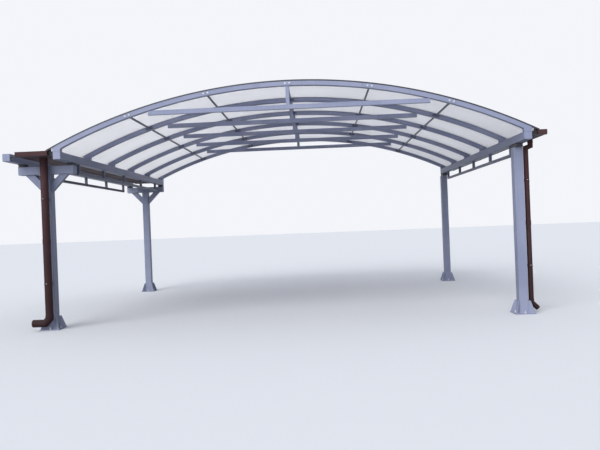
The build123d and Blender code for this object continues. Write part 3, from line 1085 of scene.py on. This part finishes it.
def shade_web(face_x, wall_x, way):
    """A black plate at the front arch, from the beam's side to the gutter's wall, as painted shade."""
    bpy.ops.object.select_all(action="DESELECT")
    bpy.ops.mesh.primitive_plane_add(size=1, location=(0, 0, 0))
    web = bpy.context.object
    slot_x = face_x + way * web_slot
    slot_top = sheet_under(slot_x) - web_clear
    wall_top = sheet_under(wall_x) - web_clear
    arch_middle = front_y + arch_width / 2
    middle = Vector(((face_x + wall_x) / 2, arch_middle, (gutter_low.z + slot_top) / 2))
    size = Matrix.Diagonal((abs(wall_x - face_x), 1, slot_top - gutter_low.z, 1))
    upright = Matrix.Rotation(math.radians(90), 4, "X")
    web.data.transform(Matrix.Translation(middle) @ size @ upright)
    only(web)
    bpy.ops.object.mode_set(mode="EDIT")
    bpy.ops.mesh.select_all(action="SELECT")
    bpy.ops.mesh.bisect(plane_co=(slot_x, 0, 0), plane_no=(1, 0, 0))
    shelf = beam_top + web_clear
    cut_level(web, shelf)

    def in_slot(face):
        centre = face.calc_center_median()
        return (centre.x - slot_x) * way < 0 and centre.z > shelf

    choose_faces(web, in_slot)
    bpy.ops.mesh.delete(type="FACE")
    bpy.ops.mesh.select_all(action="SELECT")
    slope_normal = ((slot_top - wall_top) * way, 0, abs(wall_x - slot_x))
    bpy.ops.mesh.bisect(plane_co=(slot_x, 0, slot_top), plane_no=slope_normal, clear_outer=True)
    bpy.ops.object.mode_set(mode="OBJECT")
    modify(web, "SOLIDIFY", thickness=web_thickness, offset=0)
    round_edges(web, web_corner, 1)
    return web


webs = []
gaps = ((beam_right_face, gutter_low.x, 1), (beam_left_face, valley_high.x, -1))
for face_x, wall_x, way in gaps:
    first_web = shade_web(face_x, wall_x, way)
    webs.append(first_web)
    for number in range(1, arch_count):
        webs.append(copy_by(first_web, "web", (0, number * bay_pitch, 0)))
shade_web_set = join(webs, "gutter_shade_webs")
# The plates take the black rubber finish as painted shade; the gaskets are real rubber.
finish_piece(shade_web_set, rubber_and_shade)


# Downpipes: brown pipe with a socket halfway down, above its shoe and under the gutter, held to
# each post by two brown clips. Each clip closes in front of the pipe, where a bolt goes through
# its two ears.
def pipe_ring(name, start, end, radius, wall):
    """A collar round a pipe of that radius from start to end, open at both ends."""
    bpy.ops.object.select_all(action="DESELECT")
    length = (Vector(end) - Vector(start)).length
    tube = {"radius": radius + wall, "depth": length, "end_fill_type": "NOTHING"}
    bpy.ops.mesh.primitive_cylinder_add(vertices=40, location=(0, 0, length / 2), **tube)
    ring = bpy.context.object
    ring.name = name
    modify(ring, "SOLIDIFY", thickness=wall + ring_grip, offset=-1)
    lay_along(ring, start, end)
    round_edges(ring, wall * thin_round, 2)
    return ring


def clip_ear(near, side, height):
    """One flat ear of a clip, standing out from the pipe in front of that point."""
    middle = near + Vector((side * (ear_slit + ear_thickness) / 2, -ear_reach / 2, 0))
    ear = block(middle, (ear_thickness, ear_reach, height))
    round_edges(ear, ear_thickness * thin_round, 2)
    return ear


def crease_mitres(pipe):
    """In edit mode, keeps the joints between runs of pipe sharp, so that each shades evenly."""
    shape = bmesh.from_edit_mesh(pipe.data)
    for edge in shape.edges:
        runs = []
        for face in edge.link_faces:
            longest = max(face.edges, key=lambda side: side.calc_length())
            runs.append((longest.verts[1].co - longest.verts[0].co).normalized())
        if len(runs) == 2 and abs(runs[0].dot(runs[1])) < straight_enough:
            edge.smooth = False
    bmesh.update_edit_mesh(pipe.data)


# Each pipe's post and radius, its upright run and its outlet in the gutter, measured from the
# post's middle, how deep its bore goes straight down from the gutter, and the level of the
# socket above its shoe
pipe_facts = {
    "downpipe_right": ("post_right_front", 0.0325, (0.1165, 0.0), (0.180, 0.0), 0.055, 0.162),
    "downpipe_valley": ("post_left_front", 0.050, (0.025, -0.162), (0.025, -0.162), 1.2, 0.192),
}
pipe_wall = 0.0025
pipe_corner = 0.0008
straight_enough = math.cos(math.radians(5))
clip_levels = (0.620, 1.750)
standoff_height = 0.030
clip_inset = 0.003
clip_wall = 0.002
ring_grip = 0.0004
thin_round = 0.3
ear_slit = 0.0016
ear_thickness = 0.0018
ear_reach = 0.016
ear_bolt_reach = 0.0096
ear_bolt = bolt_pattern("ear_bolt_pattern", (0.0065, 0.0012), (0.0052, 0.0042))
socket_level = 1.20
socket_length = 0.060
shoe_socket_length = 0.040
socket_wall = 0.003
spigot_length = 0.035
for name, (post_name, radius, run, outlet, bore_depth, shoe_level) in pipe_facts.items():
    pipe = solid_copy(name, name + "_brown")
    pipe_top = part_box(name)[1].z
    only(pipe)
    bpy.ops.object.mode_set(mode="EDIT")
    choose_faces(pipe, lambda face: min(vert.co.z for vert in face.verts) > pipe_top - pipe_wall)
    bpy.ops.mesh.inset(thickness=pipe_wall, depth=0)
    bpy.ops.mesh.extrude_region_move(TRANSFORM_OT_translate={"value": (0, 0, -bore_depth)})
    crease_mitres(pipe)
    bpy.ops.object.mode_set(mode="OBJECT")
    round_edges(pipe, pipe_corner, 1, clamp=False, sharper_than=60)
    finish_piece(pipe, gutter_brown)
    run_foot = foot_middle(post_name) + Vector((*run, 0))
    rings = []
    bolts = []
    for level in clip_levels:
        clip_start = run_foot + Vector((0, 0, level + clip_inset))
        clip_end = run_foot + Vector((0, 0, level + standoff_height - clip_inset))
        rings.append(pipe_ring("clip", clip_start, clip_end, radius, clip_wall))
        clip_front = (clip_start + clip_end) / 2 - Vector((0, radius + clip_wall / 2, 0))
        for side in (-1, 1):
            rings.append(clip_ear(clip_front, side, standoff_height - 2 * clip_inset))
            bolt_seat = Vector((side * (ear_slit / 2 + ear_thickness), -ear_bolt_reach, 0))
            bolts.append((clip_front + bolt_seat, (side, 0, 0)))
    clips = join(rings, name + "_clips")
    finish_piece(clips, gutter_brown)
    clip_bolts = set_copies(ear_bolt, bolts, name + "_clip_bolts")
    finish_piece(clip_bolts, galvanised)
    socket_start = run_foot + Vector((0, 0, socket_level))
    socket_end = socket_start + Vector((0, 0, socket_length))
    spigot_end = foot_middle(post_name) + Vector((*outlet, pipe_top))
    spigot_start = spigot_end - Vector((0, 0, spigot_length))
    shoe_start = run_foot + Vector((0, 0, shoe_level))
    shoe_end = shoe_start + Vector((0, 0, shoe_socket_length))
    sockets = [
        pipe_ring("socket", socket_start, socket_end, radius, socket_wall),
        pipe_ring("shoe_socket", shoe_start, shoe_end, radius, socket_wall),
        pipe_ring("spigot", spigot_start, spigot_end, radius, socket_wall),
    ]
    socket_set = join(sockets, name + "_sockets")
    finish_piece(socket_set, gutter_brown)
bpy.data.objects.remove(ear_bolt)
